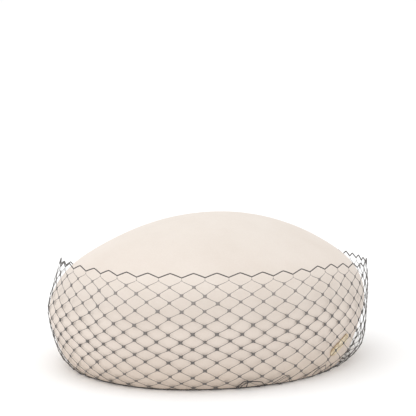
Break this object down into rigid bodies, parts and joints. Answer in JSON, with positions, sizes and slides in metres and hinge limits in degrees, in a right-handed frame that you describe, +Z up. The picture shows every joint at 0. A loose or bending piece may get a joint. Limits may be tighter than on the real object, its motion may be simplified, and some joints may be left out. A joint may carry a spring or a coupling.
{
  "type": "pillbox hat",
  "caption": "Soft domed felt pillbox hat, hollow and open below, with a wrap of diamond netting and a small plain gilt plate.",
  "frame": {"origin": "on the surface that the hat rests on, under the middle of its oval", "axes": "+Z up through the crown, +Y towards the back of the head, +X towards the wearer's left"},
  "size_m": [0.182, 0.2104, 0.09],
  "materials": {
    "felt": "cream wool felt, matt with a fine short nap",
    "netting": "black millinery netting, matt thread",
    "gilt": "pale gilt metal, softly polished"
  },
  "bodies": {
    "root": {"crown": "felt", "veil": "netting", "pin_plate": "gilt"}
  },
  "joints": []
}
